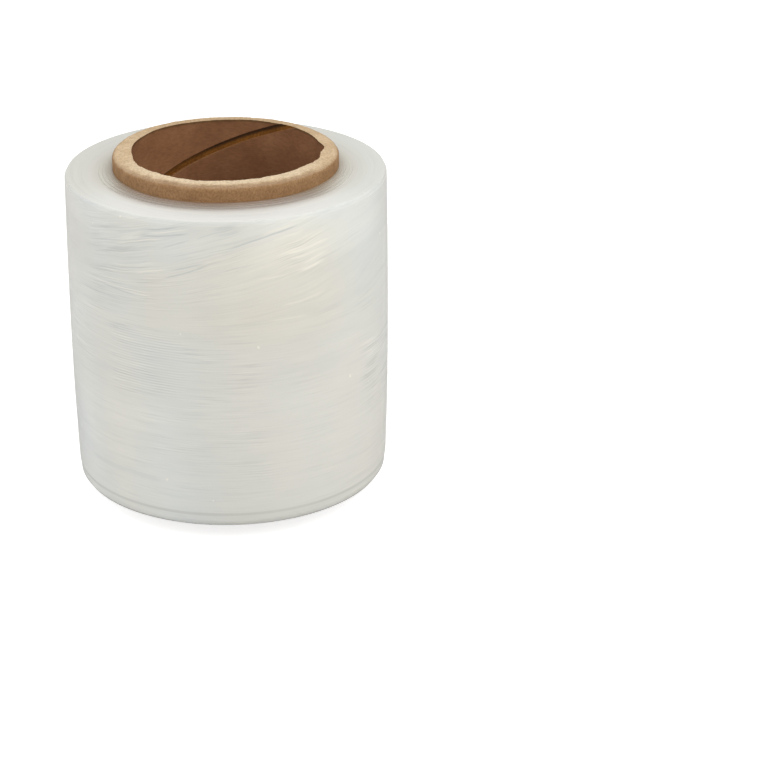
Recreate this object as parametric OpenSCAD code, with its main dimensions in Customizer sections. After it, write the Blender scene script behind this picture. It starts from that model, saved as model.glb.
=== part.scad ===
// Stretch wrap roll: a narrow roll of clear film, wound tight on a spiral-wound paper core.
// The roll stands on the lower end of its core. Z runs up the core's axis, and z = 0 is the plane it stands on.
// The photographed side faces -Y. Sizes are in millimetres and angles in degrees.

/* [Core] */
// Bore of the paper core, the common three inch size
core_bore_d = 76.2; // [50:0.1:90]
// Wall of the core, all its plies together
core_wall = 6.4; // [3:0.1:12]
// How far the core stands out past the film at each end
core_proud = 7.5; // [3:0.1:20]
// How much lower the upper cut face lies at its outer lip than at its inner edge
rim_fall = 0.6; // [0:0.05:1.5]
// Rounding of the worn outer lip at the upper end
lip_r = 1.2; // [0.3:0.1:2]
// Break of the outer edge at the lower end, which the roll stands on
foot_break = 0.5; // [0.1:0.1:1.5]

/* [Plies] */
// Thickness of one ply of core board
ply_t = 0.55; // [0.3:0.05:1.2]
// How far every other ply's cut edge lies below its neighbours on the upper end
ply_edge = 0.08; // [0:0.01:0.2]
// Gap between the edges of the innermost ply, measured square to its run
gap_w = 2.6; // [0.5:0.1:5]
// Height that the gap climbs in one turn round the bore
gap_pitch = 91; // [50:1:200]
// Direction in which the gap meets the upper end, counted from +X towards +Y
gap_top_az = 55; // [0:1:360]

/* [Film] */
// Width of the film, which is the height of the wound body
film_w = 127; // [50:1:500]
// Diameter over the film where it is fullest, half way up
film_od = 128; // [114:0.5:250]
// How much the radius falls off from half height to the upper end
top_fall = 0.6; // [0:0.1:2]
// How much the radius falls off from half height to the lower end
bottom_fall = 1.2; // [0:0.1:2]
// Rounding of the film's upper edge
top_edge_r = 1.2; // [0.3:0.1:4]
// Rounding of the film's lower edge
bottom_edge_r = 3; // [0.5:0.1:5]
// Height above the lower edge at which the outermost turns stop short
hem_h = 4.5; // [3:0.1:10]
// How far the strip below those turns lies inside them
hem_d = 0.25; // [0.05:0.05:0.6]

/* [Turns] */
// How far the innermost turns have crept up along the core
creep_h = 1.6; // [0.2:0.1:3]
// Radial width of the band of turns that crept
creep_w = 6.8; // [3:0.1:12]
// Number of steps that those turns make
creep_steps = 4; // [1:1:8]
// Distance between the rings that the turns' edges make on the end faces
ring_pitch = 1.5; // [0.8:0.1:4]
// Depth of the rings
ring_depth = 0.12; // [0.02:0.01:0.3]
// Distance between the ridges that the turns make round the side
ridge_pitch = 3.2; // [1.5:0.1:8]
// Height of the ridges
ridge_h = 0.14; // [0.02:0.01:0.3]

/* [Hidden] */
board_colour = [0.72, 0.58, 0.43];
film_colour = [0.88, 0.88, 0.85];
bore_r = core_bore_d / 2;
core_r = bore_r + core_wall;
core_len = film_w + 2 * core_proud;
film_z0 = core_proud;
film_z1 = film_z0 + film_w;
film_r = film_od / 2;
top_r = film_r - top_fall;
bottom_r = film_r - bottom_fall;
// The lower rounding stays within the strip below the outermost turns
foot_edge_r = min(bottom_edge_r, hem_h);
ply_count = floor((core_wall - lip_r) / ply_t);
creep_step_w = creep_w / creep_steps;
creep_r = core_r + creep_w;
// Width over which one step of the turns falls to the next
riser_w = creep_step_w / 6;
// How quickly the steps die away with the radius
creep_power = 1.4;
// Turn of the golden angle, which keeps neighbouring rings and ridges from looking alike
uneven_turn = 137.5;
// Smallest share of their depth that rings and ridges have
uneven_least = 0.4;
// The gap's cutter reaches into the bore and past both ends of the core
gap_in = 1;
gap_over = 4;
// Turn from one ring of the cutter to the next, and height climbed in one degree
gap_step = 5;
gap_climb = gap_pitch / 360;
// Half the height of the gap, which is steeper across than square to its run
gap_half_h = gap_w / 2 * sqrt(1 + pow(gap_pitch / (PI * core_bore_d), 2));
gap_rings = ceil((core_len + 2 * gap_over) / (gap_climb * gap_step));
gap_bottom_az = gap_top_az + (core_len + gap_over) / gap_climb;
arc_steps = 6;
$fn = 120;

// A share of the full depth that differs from one ring or ridge to the next
function uneven(i) = uneven_least + (1 - uneven_least) * (1 + sin(uneven_turn * i)) / 2;

// Points of a quarter round from one angle to another
function arc(centre, r, from, to) = [
    for (i = [0 : arc_steps])
        let (a = from + (to - from) * i / arc_steps)
        centre + r * [cos(a), sin(a)]
];

// Height of the core's upper cut face at a radius
function rim_z(r) = core_len - rim_fall * (r - bore_r) / core_wall;

// Cut edges of the plies, every other one a little lower, from the outer lip inwards
function ply_edges() = [
    for (i = [ply_count - 1 : -1 : 1])
        let (r = bore_r + i * ply_t)
        [r, rim_z(r) - (i % 2) * ply_edge]
];

// Radius of the wound film at a height, fullest half way up
function barrel_r(z) =
    let (u = 2 * (z - film_z0) / film_w - 1)
    film_r - (u > 0 ? top_fall : bottom_fall) * u * u;

// How far the turns of one step have crept up
function creep(i) = creep_h * pow(1 - i / creep_steps, creep_power);

// Edges of the crept turns, stepping down from the core outwards
function creep_edges(z) = [
    for (i = [0 : creep_steps - 1], side = [0, 1])
        [core_r + (i + side) * creep_step_w + (side == 0 && i > 0 ? riser_w : 0), z + creep(i)]
];

// Edges of the level turns from the crept band to a radius, every other one cut back
function ring_edges(z, r_end, depth) =
    let (rings = floor((r_end - creep_r) / (ring_pitch / 2)))
    [
        for (i = [0 : rings - 1])
            [creep_r + riser_w + i * ring_pitch / 2, z - (i % 2) * depth * uneven(i)]
    ];

// Ridges of the turns up the side, from the top of the lower strip to the upper rounding
function ridges() =
    let (
        z_start = film_z0 + hem_h,
        ridge_count = floor((film_z1 - top_edge_r - z_start) / (ridge_pitch / 2))
    )
    [
        for (i = [0 : ridge_count - 1])
            let (z = z_start + i * ridge_pitch / 2)
            [barrel_r(z) - (1 - i % 2) * ridge_h * uneven(i), z]
    ];

// Points of a list in the opposite order
function turned(points) = [for (i = [len(points) - 1 : -1 : 0]) points[i]];

// Four corners of the gap's cutter at one step round the bore, inner pair first
function gap_corners(i) =
    let (
        az = gap_bottom_az - i * gap_step,
        z = -gap_over + i * gap_step * gap_climb
    )
    [
        for (corner = [[-gap_in, -1], [ply_t, -1], [ply_t, 1], [-gap_in, 1]])
            let (r = bore_r + corner[0])
            [r * cos(az), r * sin(az), z + corner[1] * gap_half_h]
    ];

// Helical bar as wide as the gap, which runs round the bore from below the core to above it
module gap_bar() {
    points = [for (i = [0 : gap_rings], corner = gap_corners(i)) corner];
    last = 4 * gap_rings;
    sides = [
        for (i = [0 : gap_rings - 1], k = [0 : 3])
            let (a = 4 * i + k, b = 4 * i + (k + 1) % 4)
            each [[a, b + 4, b], [a, a + 4, b + 4]]
    ];
    ends = [[1, 2, 3], [0, 1, 3], [last + 2, last + 1, last], [last + 3, last + 2, last]];
    polyhedron(points = points, faces = concat(sides, ends));
}

// Paper core: straight bore, flat lower end, and a cut upper end that shows its plies
module core_tube() {
    lip_centre = [core_r - lip_r, rim_z(core_r) - lip_r];
    profile = concat(
        [[bore_r, 0], [core_r - foot_break, 0], [core_r, foot_break]],
        arc(lip_centre, lip_r, 0, 90),
        ply_edges(),
        [[bore_r, core_len]]
    );
    color(board_colour)
    difference() {
        rotate_extrude() polygon(profile);
        gap_bar();
    }
}

// Wound film: all its turns as one solid, seated on the core
module film_roll() {
    top_centre = [top_r - top_edge_r, film_z1 - top_edge_r];
    bottom_centre = [bottom_r - hem_d - foot_edge_r, film_z0 + foot_edge_r];
    profile = concat(
        creep_edges(film_z0),
        ring_edges(film_z0, bottom_centre[0], -ring_depth),
        arc(bottom_centre, foot_edge_r, -90, 0),
        [[barrel_r(film_z0 + hem_h) - hem_d - ridge_h, film_z0 + hem_h]],
        ridges(),
        arc(top_centre, top_edge_r, 0, 90),
        turned(ring_edges(film_z1, top_centre[0], ring_depth)),
        turned(creep_edges(film_z1))
    );
    color(film_colour)
    rotate_extrude() polygon(profile);
}

core_tube();
film_roll();
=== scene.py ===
"""Looks of a stretch wrap roll: clear film wound on a spiral-wound paper core, standing on its end.

All lengths are in metres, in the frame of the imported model: Z runs up the core's axis, and z = 0 is the
plane that the roll stands on. The photographed side faces -Y. Where a field holds a pair, what it steers
sets in at the first number and is complete at the second, unless its class says otherwise.
"""

from __future__ import annotations

import logging
import math
import random
from dataclasses import dataclass
from enum import Enum
from typing import Callable

import bpy
import numpy as np
from mathutils import Matrix, Vector, noise


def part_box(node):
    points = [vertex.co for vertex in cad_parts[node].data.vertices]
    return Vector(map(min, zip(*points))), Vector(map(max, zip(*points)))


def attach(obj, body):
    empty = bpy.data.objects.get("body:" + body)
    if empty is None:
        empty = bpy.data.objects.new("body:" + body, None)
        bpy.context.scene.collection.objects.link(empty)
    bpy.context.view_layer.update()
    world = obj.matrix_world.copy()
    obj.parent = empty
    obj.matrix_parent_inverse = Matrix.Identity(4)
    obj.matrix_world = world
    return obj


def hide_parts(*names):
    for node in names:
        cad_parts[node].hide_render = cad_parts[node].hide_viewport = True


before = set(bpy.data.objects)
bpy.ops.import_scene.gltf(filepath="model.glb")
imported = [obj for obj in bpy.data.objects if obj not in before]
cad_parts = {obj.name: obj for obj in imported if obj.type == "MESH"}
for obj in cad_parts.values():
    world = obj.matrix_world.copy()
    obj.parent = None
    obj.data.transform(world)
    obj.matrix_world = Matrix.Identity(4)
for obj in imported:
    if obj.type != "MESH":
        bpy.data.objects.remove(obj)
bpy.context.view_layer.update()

LOG = logging.getLogger("stretch_wrap_roll")
MM = 0.001
MERGE = 1e-7
LEVEL = 1e-6
LEVEL_NORMAL = 0.9
RING_SLACK = 0.02 * MM
BODY = "root"
FRONT = -math.pi / 2

Socket = bpy.types.NodeSocket
Span = tuple[float, float]
Triple = tuple[float, float, float]
Linear = tuple[float, float, float, float]
Screen = tuple[int, int, int]
Stops = tuple[tuple[float, Linear], ...]


class Side(Enum):
    """An end of the roll, as the direction in which it faces along Z."""

    LOWER = -1
    UPPER = 1


def linear(red: int, green: int, blue: int) -> Linear:
    """Turn a colour as seen on screen into the linear values that a shader takes.

    Args:
        red: Red from 0 to 255.
        green: Green from 0 to 255.
        blue: Blue from 0 to 255.

    Returns:
        The linear red, green and blue, and an alpha of 1.
    """
    shares = [value / 255 for value in (red, green, blue)]
    values = [s / 12.92 if s <= 0.04045 else ((s + 0.055) / 1.055) ** 2.4 for s in shares]
    return (values[0], values[1], values[2], 1.0)


def screen_stops(*rows: tuple[float, int, int, int]) -> Stops:
    """Make a ramp's stops from rows of a place and a red, green and blue as seen on screen."""
    return tuple((place, linear(red, green, blue)) for place, red, green, blue in rows)


def spaced_stops(places: Triple, colours: tuple[Screen, ...]) -> Stops:
    """Make a ramp's stops from places and colours as seen on screen."""
    return tuple((place, linear(*colour)) for place, colour in zip(places, colours))


def share_stops(*rows: Linear) -> Stops:
    """Make a ramp's stops from rows of a place and the shares that it leaves of red, green and blue."""
    return tuple((place, (red, green, blue, 1.0)) for place, red, green, blue in rows)


def deselect_all() -> None:
    """Leave object mode with nothing selected."""
    if bpy.context.object is not None and bpy.context.object.mode != "OBJECT":
        bpy.ops.object.mode_set(mode="OBJECT")
    bpy.ops.object.select_all(action="DESELECT")


def activate(piece: bpy.types.Object) -> None:
    """Select one object alone and make it active.

    Args:
        piece: The object.
    """
    deselect_all()
    piece.select_set(True)
    bpy.context.view_layer.objects.active = piece


def pick(piece: bpy.types.Object, kind: str, test: Callable[[Vector, Vector], bool]) -> int:
    """Select faces or edges of a piece by their place, and leave it in edit mode.

    Args:
        piece: The mesh object.
        kind: FACE or EDGE.
        test: Says of a face, from its centre and normal, or of an edge, from its two ends, if it is picked.

    Returns:
        The number of picked elements.
    """
    bpy.ops.object.mode_set(mode="EDIT")
    bpy.ops.mesh.select_mode(type=kind)
    bpy.ops.mesh.select_all(action="DESELECT")
    bpy.ops.object.mode_set(mode="OBJECT")
    mesh = piece.data
    if kind == "FACE":
        chosen = [face for face in mesh.polygons if test(face.center, face.normal)]
    else:
        points = [vertex.co for vertex in mesh.vertices]
        chosen = [edge for edge in mesh.edges if test(points[edge.vertices[0]], points[edge.vertices[1]])]
    for element in chosen:
        element.select = True
    bpy.ops.object.mode_set(mode="EDIT")
    return len(chosen)


def radius(point: Vector) -> float:
    """Distance of a point from the roll's axis."""
    return math.hypot(point.x, point.y)


def smoothstep(low: float, high: float, value: np.ndarray) -> np.ndarray:
    """Rise smoothly from 0 at low to 1 at high."""
    share = np.clip((value - low) / (high - low), 0, 1)
    return share * share * (3 - 2 * share)


def points_of(piece: bpy.types.Object) -> np.ndarray:
    """Read where a piece's vertices are.

    Args:
        piece: The mesh object.

    Returns:
        Rows of x, y and z.
    """
    flat = np.zeros(len(piece.data.vertices) * 3)
    piece.data.vertices.foreach_get("co", flat)
    return flat.reshape(-1, 3)


def place_points(piece: bpy.types.Object, points: np.ndarray) -> None:
    """Write a piece's vertices back from rows of x, y and z."""
    piece.data.vertices.foreach_set("co", points.astype(np.float32).ravel())
    piece.data.update()


def wall_ring(name: str, columns: int, outer: float, span: Span,
              rings: dict[Side, list[float]]) -> bpy.types.Object:
    """Model a thick round wall from a cylinder: inset end faces, an open bore and a bridged inner wall.

    Args:
        name: Name of the piece.
        columns: Number of corners round the wall.
        outer: Outer radius.
        span: Lowest and highest z.
        rings: Radii of the rings of each end face, from the outside in. The last one is the bore's.

    Returns:
        The wall, with its object at the origin.
    """
    low, high = span
    deselect_all()
    bpy.ops.mesh.primitive_cylinder_add(vertices=columns, radius=outer, depth=high - low,
                                        location=(0, 0, (low + high) / 2), end_fill_type="NGON")
    piece = bpy.context.object
    piece.name = name
    bpy.ops.object.transform_apply(location=True, rotation=True, scale=True)
    for side, radii in rings.items():
        pick(piece, "FACE", lambda centre, normal: normal.z * side.value > LEVEL_NORMAL)
        for wide, narrow in zip([outer, *radii], radii):
            bpy.ops.mesh.inset(thickness=(wide - narrow) * math.cos(math.pi / columns))
        bpy.ops.mesh.delete(type="FACE")
    limit = rings[Side.UPPER][-1] + RING_SLACK
    pick(piece, "EDGE", lambda a, b: abs(a.z - b.z) < LEVEL and radius(a) < limit and radius(b) < limit)
    bpy.ops.mesh.bridge_edge_loops()
    bpy.ops.object.mode_set(mode="OBJECT")
    return piece


def slice_rows(piece: bpy.types.Object, heights: list[float]) -> None:
    """Cut a piece level at each height, so that its walls get rows of corners there.

    Args:
        piece: The mesh object.
        heights: The heights in metres.
    """
    activate(piece)
    bpy.ops.object.mode_set(mode="EDIT")
    for height in heights:
        bpy.ops.mesh.select_all(action="SELECT")
        bpy.ops.mesh.bisect(plane_co=(0, 0, height), plane_no=(0, 0, 1))
    bpy.ops.object.mode_set(mode="OBJECT")


def finish_mesh(piece: bpy.types.Object, angle: float) -> None:
    """Merge doubles, turn the faces outwards and shade smoothly over edges that are not too sharp.

    Args:
        piece: The mesh object.
        angle: Sharpest edge that is shaded smoothly, in degrees.
    """
    activate(piece)
    bpy.ops.object.mode_set(mode="EDIT")
    bpy.ops.mesh.select_all(action="SELECT")
    bpy.ops.mesh.remove_doubles(threshold=MERGE)
    bpy.ops.mesh.normals_make_consistent(inside=False)
    bpy.ops.object.mode_set(mode="OBJECT")
    bpy.ops.object.shade_smooth_by_angle(angle=math.radians(angle))


def join_body(piece: bpy.types.Object, node: str) -> None:
    """Let a piece stand for a CAD node and ride on the roll's body.

    Args:
        piece: The finished mesh object.
        node: The CAD node's name.
    """
    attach(piece, BODY)
    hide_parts(node)
    faces = len(piece.data.polygons)
    LOG.info("%s stands for %s with %d faces", piece.name, node, faces)


class Layer(Enum):
    """A number that the film's mesh carries at its corners."""

    # The painted light and shade of the side's wrinkles.
    PAINTED_LIGHT = "film_painted_light"
    LINES = "film_lines"
    ZONES = "film_zones"


@dataclass(frozen=True)
class Noise:
    """A noise: how fine it is, its layers of detail, how strongly they show, and how far it is drawn out."""

    scale: float
    detail: float = 3.0
    roughness: float = 0.5
    squeeze: float = 1.0


@dataclass(frozen=True)
class Relief:
    """A bump: how deep it is, and how strongly it shows."""

    depth: float
    strength: float


class Tree:
    """A node tree, with short calls that add and link its nodes."""

    def __init__(self, tree: bpy.types.NodeTree, output: str) -> None:
        """Start again with nothing but an output.

        Args:
            tree: The node tree of a material or a world.
            output: The kind of its output node.
        """
        self.tree = tree
        tree.nodes.clear()
        self.output = self.add(output)

    def add(self, kind: str) -> bpy.types.Node:
        """Add a node."""
        return self.tree.nodes.new(kind)

    def link(self, source: Socket, target: Socket) -> None:
        """Link an output to an input."""
        self.tree.links.new(source, target)

    def feed(self, target: Socket, value: object) -> None:
        """Set an input to a constant, or link an output to it.

        Args:
            target: The input.
            value: The constant or the output.
        """
        if isinstance(value, Socket):
            self.link(value, target)
        else:
            target.default_value = value

    def math(self, operation: str, *values: object) -> Socket:
        """Work out one number from others.

        Args:
            operation: The kind of sum.
            values: Its one, two or three numbers, as constants or outputs.

        Returns:
            The result.
        """
        node = self.add("ShaderNodeMath")
        node.operation = operation
        for socket, value in zip(node.inputs, values):
            self.feed(socket, value)
        return node.outputs[0]

    def times(self, first: object, *others: object) -> Socket:
        """Multiply numbers.

        Args:
            first: The first number, as a constant or an output.
            others: The other ones.

        Returns:
            Their product.
        """
        for other in others:
            first = self.math("MULTIPLY", first, other)
        return first

    def plus(self, first: object, second: object) -> Socket:
        """Add two numbers."""
        return self.math("ADD", first, second)

    def minus(self, first: object, second: object) -> Socket:
        """Take the second number from the first."""
        return self.math("SUBTRACT", first, second)

    def centred(self, value: object) -> Socket:
        """Shift a number that runs from 0 to 1 so that it runs to both sides of 0."""
        return self.minus(value, 0.5)

    def combine(self, x: object, y: object, z: object) -> Socket:
        """Make a vector from three numbers.

        Args:
            x: Its x, as a constant or an output.
            y: Its y.
            z: Its z.

        Returns:
            The vector.
        """
        node = self.add("ShaderNodeCombineXYZ")
        for socket, value in zip(node.inputs, (x, y, z)):
            self.feed(socket, value)
        return node.outputs[0]

    def spread(self, value: Socket, source: Span, target: Span = (0.0, 1.0), smooth: bool = False) -> Socket:
        """Map a number from one range to another, and keep it there.

        Args:
            value: The number.
            source: The range that it comes from.
            target: The range that it goes to.
            smooth: Ease in and out at the ends of the range.

        Returns:
            The mapped number.
        """
        node = self.add("ShaderNodeMapRange")
        node.interpolation_type = "SMOOTHSTEP" if smooth else "LINEAR"
        self.link(value, node.inputs["Value"])
        for name, number in zip(("From Min", "From Max", "To Min", "To Max"), (*source, *target)):
            node.inputs[name].default_value = number
        return node.outputs[0]

    def rise(self, value: Socket, span: Span, most: float = 1.0, least: float = 0.0) -> Socket:
        """Climb smoothly from the least at one end of a span to the most at the other."""
        return self.spread(value, span, (least, most), True)

    def fade(self, value: Socket, span: Span, most: float = 1.0, least: float = 0.0) -> Socket:
        """Fall smoothly from the most at one end of a span to the least at the other."""
        return self.spread(value, span, (most, least), True)

    def ramp(self, value: Socket, stops: Stops) -> Socket:
        """Turn a number into a colour that runs through stops.

        Args:
            value: The number.
            stops: The places of the colours, from 0 to 1, and the colours.

        Returns:
            The colour.
        """
        node = self.add("ShaderNodeValToRGB")
        self.link(value, node.inputs[0])
        elements = node.color_ramp.elements
        while len(elements) < len(stops):
            elements.new(0.5)
        for element, (position, colour) in zip(elements, stops):
            element.position = position
            element.color = colour
        return node.outputs[0]

    def mix(self, share: object, first: object, second: object, blend: str = "MIX") -> Socket:
        """Blend two colours.

        Args:
            share: How far the result goes from the first colour to the blend, from 0 to 1.
            first: The first colour, as a constant or an output.
            second: The second one.
            blend: How they blend.

        Returns:
            The blended colour.
        """
        node = self.add("ShaderNodeMix")
        node.data_type = "RGBA"
        node.blend_type = blend
        for key, value in (("Factor", share), (6, first), (7, second)):
            self.feed(node.inputs[key], value)
        return node.outputs[2]

    def multiply(self, colour: object, factor: object) -> Socket:
        """Multiply two colours."""
        return self.mix(1.0, colour, factor, "MULTIPLY")

    def tint(self, share: object, colour: object, factor: object) -> Socket:
        """Multiply a colour by another one as far as a share says."""
        return self.mix(share, colour, self.multiply(colour, factor))


class Nodes(Tree):
    """A material's node tree, which reads the roll's own coordinates."""

    def __init__(self, name: str) -> None:
        """Start an empty material with a principled shader.

        Args:
            name: Name of the material.
        """
        self.material = bpy.data.materials.new(name)
        self.material.use_nodes = True
        super().__init__(self.material.node_tree, "ShaderNodeOutputMaterial")
        self.shader = self.add("ShaderNodeBsdfPrincipled")
        self.link(self.shader.outputs[0], self.output.inputs["Surface"])
        self.place = self.add("ShaderNodeTexCoord").outputs["Object"]

    def set(self, **values: object) -> None:
        """Set or link the shader's inputs, named with underscores for spaces."""
        for name, value in values.items():
            self.feed(self.shader.inputs[name.replace("_", " ")], value)

    def stretch(self, scale: Triple) -> Socket:
        """Scale the object coordinates.

        Args:
            scale: The factors along X, Y and Z.

        Returns:
            The scaled coordinates.
        """
        node = self.add("ShaderNodeMapping")
        self.link(self.place, node.inputs["Vector"])
        node.inputs["Scale"].default_value = scale
        return node.outputs[0]

    def split(self) -> list[Socket]:
        """Split the object coordinates.

        Returns:
            Their x, y and z.
        """
        node = self.add("ShaderNodeSeparateXYZ")
        self.link(self.place, node.inputs[0])
        return list(node.outputs)

    def attribute(self, layer: Layer) -> Socket:
        """Read a number that the mesh carries.

        Args:
            layer: Which one it is.

        Returns:
            The number.
        """
        node = self.add("ShaderNodeAttribute")
        node.attribute_name = layer.value
        return node.outputs["Fac"]

    def axis_radius(self) -> Socket:
        """Work out the distance from the roll's axis.

        Returns:
            The distance in metres.
        """
        x, y, _ = self.split()
        squares = self.plus(self.times(x, x), self.times(y, y))
        return self.math("SQRT", squares)

    def facing(self) -> Socket:
        """Work out how far a point lies towards the back: 1 behind the axis, -1 in front of it."""
        _, y, _ = self.split()
        return self.math("DIVIDE", y, self.axis_radius())

    def toward_front(self, span: Span) -> Socket:
        """Rise from 0 to 1 as a point comes round to the photographed side, where the span would reach 1."""
        return self.fade(self.facing(), (-span[1], -span[0]))

    def steepness(self) -> Socket:
        """Work out how level the surface is.

        Returns:
            1 on a level face, 0 on an upright one.
        """
        surface = self.add("ShaderNodeNewGeometry")
        parts = self.add("ShaderNodeSeparateXYZ")
        self.link(surface.outputs["Normal"], parts.inputs[0])
        return self.math("ABSOLUTE", parts.outputs[2])

    def noise(self, place: Socket, kind: Noise) -> Socket:
        """Add fractal noise.

        Args:
            place: The coordinates that it reads.
            kind: Its settings.

        Returns:
            Its value from 0 to 1.
        """
        node = self.add("ShaderNodeTexNoise")
        self.link(place, node.inputs["Vector"])
        for name, number in zip(("Scale", "Detail", "Roughness"), (kind.scale, kind.detail, kind.roughness)):
            node.inputs[name].default_value = number
        return node.outputs[0]

    def drawn(self, across: Socket, kind: Noise) -> Socket:
        """Add noise that is drawn out along the film's turns.

        Args:
            across: The number that changes from one turn to the next.
            kind: The noise's settings.

        Returns:
            Its value from 0 to 1.
        """
        x, y, _ = self.split()
        place = self.combine(self.times(x, kind.squeeze), self.times(y, kind.squeeze), across)
        return self.noise(place, kind)

    def bump(self, height: Socket, relief: Relief, below: Socket | None = None) -> Socket:
        """Turn a height from 0 to 1 into a bump.

        Args:
            height: The height.
            relief: The bump's depth and strength.
            below: The bump that this one lies on, if there is one.

        Returns:
            The bumped normal.
        """
        node = self.add("ShaderNodeBump")
        node.inputs["Strength"].default_value = relief.strength
        node.inputs["Distance"].default_value = relief.depth
        self.link(height, node.inputs["Height"])
        if below is not None:
            self.link(below, node.inputs["Normal"])
        return node.outputs[0]


@dataclass(frozen=True)
class Helix:
    """The run of the gap between the edges of the innermost ply, left-handed round the bore."""

    pitch: float = 91 * MM
    top_azimuth: float = 52.8
    top: float = 142 * MM
    width: float = 2.9 * MM
    bore_r: float = 38.1 * MM

    @property
    def half_height(self) -> float:
        """Half the gap's height, which is steeper across than square to its run."""
        return self.width / 2 * math.sqrt(1 + (self.pitch / (math.tau * self.bore_r)) ** 2)

    def offset(self, nodes: Nodes) -> Socket:
        """Work out how far above the gap's middle a point of the bore lies.

        Args:
            nodes: The material that reads it.

        Returns:
            The height in metres, negative below the middle.
        """
        x, y, z = nodes.split()
        climb = nodes.times(nodes.math("ARCTAN2", y, x), self.pitch / math.tau)
        start = self.top + self.pitch * self.top_azimuth / 360
        level = nodes.minus(nodes.plus(z, climb), start)
        return nodes.math("WRAP", level, self.pitch / 2, -self.pitch / 2)


@dataclass(frozen=True)
class BoardFinish:
    """Kraft board: a brown base with darker and lighter fibres and specks, and a felted surface."""

    name: str
    base: Screen
    dark: Screen
    light: Screen
    fibre_depth: float
    cloud: Noise = Noise(140)
    cloud_places: Triple = (0.3, 0.5, 0.7)
    cloud_relief: Relief = Relief(0.15 * MM, 0.5)
    fibre: Noise = Noise(1300, 3, 0.7)
    fibre_stretch: Triple = (1.0, 1.0, 0.8)
    fibre_stops: Stops = share_stops((0.36, 0.74, 0.71, 0.66), (0.5, 1, 1, 1), (0.64, 1.24, 1.22, 1.18))
    fibre_strength: float = 0.9
    grain: float = 1.0
    speckle: Noise = Noise(1000, 1)
    speckle_span: Span = (0.64, 0.76)
    speckle_share: float = 0.35
    speckle_tint: Linear = (0.55, 0.5, 0.44, 1.0)
    roughness: float = 0.85
    shine: float = 0.25

    def tone(self, nodes: Nodes, base: Socket) -> Socket:
        """Give the clouded base colour unchanged."""
        return base

    def build(self) -> bpy.types.Material:
        """Make the material.

        Returns:
            The board material, which reads object coordinates.
        """
        nodes = Nodes(self.name)
        cloud = nodes.noise(nodes.place, self.cloud)
        fibre = nodes.noise(nodes.stretch(self.fibre_stretch), self.fibre)
        speckle = nodes.noise(nodes.place, self.speckle)
        base = nodes.ramp(cloud, spaced_stops(self.cloud_places, (self.dark, self.base, self.light)))
        grain = nodes.ramp(fibre, self.fibre_stops)
        coloured = nodes.mix(self.grain, self.tone(nodes, base), grain, "MULTIPLY")
        dots = nodes.spread(speckle, self.speckle_span, (0.0, self.speckle_share))
        spotted = nodes.tint(dots, coloured, self.speckle_tint)
        nodes.set(Base_Color=spotted, Roughness=self.roughness, Specular_IOR_Level=self.shine)
        soft = nodes.bump(cloud, self.cloud_relief)
        nodes.set(Normal=nodes.bump(fibre, Relief(self.fibre_depth, self.fibre_strength), soft))
        return nodes.material


@dataclass(frozen=True)
class OuterBoardFinish(BoardFinish):
    """The cut ends and the outer side: a felted face that turns into darker kraft round the worn lip.

    The face gets a pale painted highlight towards the bore in front, painted shade behind, and painted shade
    round the lip in front.
    """

    uneven: Noise = Noise(300, 2)
    uneven_w: float = 3 * MM
    # pale is a painted highlight on the face towards the bore in front.
    pale: Screen = (210, 190, 160)
    highlight_r: Span = (40.2 * MM, 42.2 * MM)
    highlight_front: Span = (0.1, 0.8)
    # behind is painted shade on the face at the back; the lip fields paint shade round the lip in front.
    behind: Screen = (178, 151, 117)
    shade_behind_span: Span = (0.3, 0.95)
    shade_behind_share: float = 0.7
    lip_shade_r: Span = (41.5 * MM, 43.0 * MM)
    lip_shade_front: Span = (0.2, 0.8)
    lip_shade_share: Linear = (0.68, 0.63, 0.6, 1.0)
    level_span: Span = (0.5, 0.985)
    side_share: Linear = (0.555, 0.43, 0.325, 1.0)

    def tone(self, nodes: Nodes, base: Socket) -> Socket:
        """Paint a highlight on the face's inner part in front, paint shade on its lip there and behind, and
        darken the outer side.

        Args:
            nodes: The material.
            base: The clouded base colour.

        Returns:
            The blended colour.
        """
        uneven = nodes.centred(nodes.noise(nodes.place, self.uneven))
        r = nodes.plus(nodes.axis_radius(), nodes.times(uneven, self.uneven_w))
        # Painted shade behind, a pale painted highlight towards the bore in front, and painted shade on the
        # lip in front.
        back = nodes.rise(nodes.facing(), self.shade_behind_span, self.shade_behind_share)
        face = nodes.mix(back, base, linear(*self.behind))
        pale = nodes.times(nodes.fade(r, self.highlight_r), nodes.toward_front(self.highlight_front))
        face = nodes.mix(pale, face, linear(*self.pale))
        lip = nodes.times(nodes.rise(r, self.lip_shade_r), nodes.toward_front(self.lip_shade_front))
        face = nodes.tint(lip, face, self.lip_shade_share)
        level = nodes.rise(nodes.steepness(), self.level_span)
        return nodes.mix(level, nodes.multiply(base, self.side_share), face)


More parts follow.
